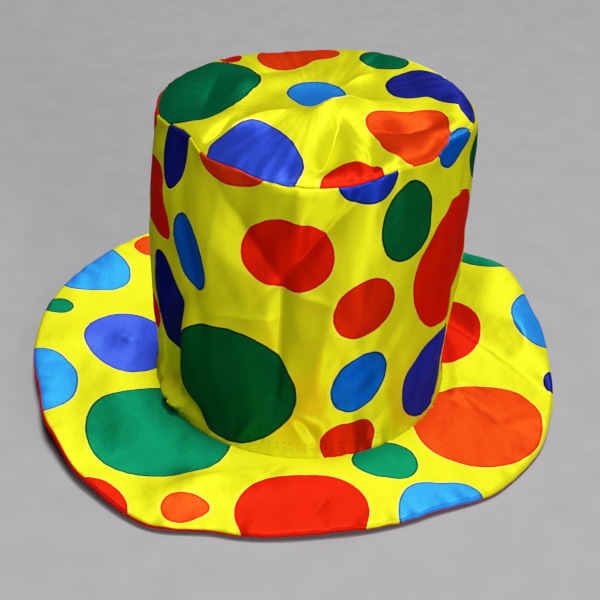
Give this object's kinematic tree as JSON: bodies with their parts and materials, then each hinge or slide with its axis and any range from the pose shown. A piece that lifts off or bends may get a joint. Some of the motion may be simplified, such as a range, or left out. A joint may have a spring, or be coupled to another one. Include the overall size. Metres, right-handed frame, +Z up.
{
  "type": "clown hat",
  "caption": "Floppy cloth clown hat with a tall round crown, a softly puffed flat tip and a wide soft brim, covered in bright uneven dots, lying on its brim.",
  "frame": {"origin": "on the floor, under the middle of the brim's outline", "axes": "+Z up through the crown, -Y towards the front of the hat as pictured, +X to its right"},
  "size_m": [0.3336, 0.3311, 0.1989],
  "materials": {
    "dotted_satin": "yellow satin with printed dots in red, green and blues",
    "red_satin": "plain red satin"
  },
  "bodies": {
    "root": {"crown_side": "dotted_satin", "crown_tip": "dotted_satin", "brim_top": "dotted_satin", "brim_under": "red_satin"}
  },
  "joints": []
}
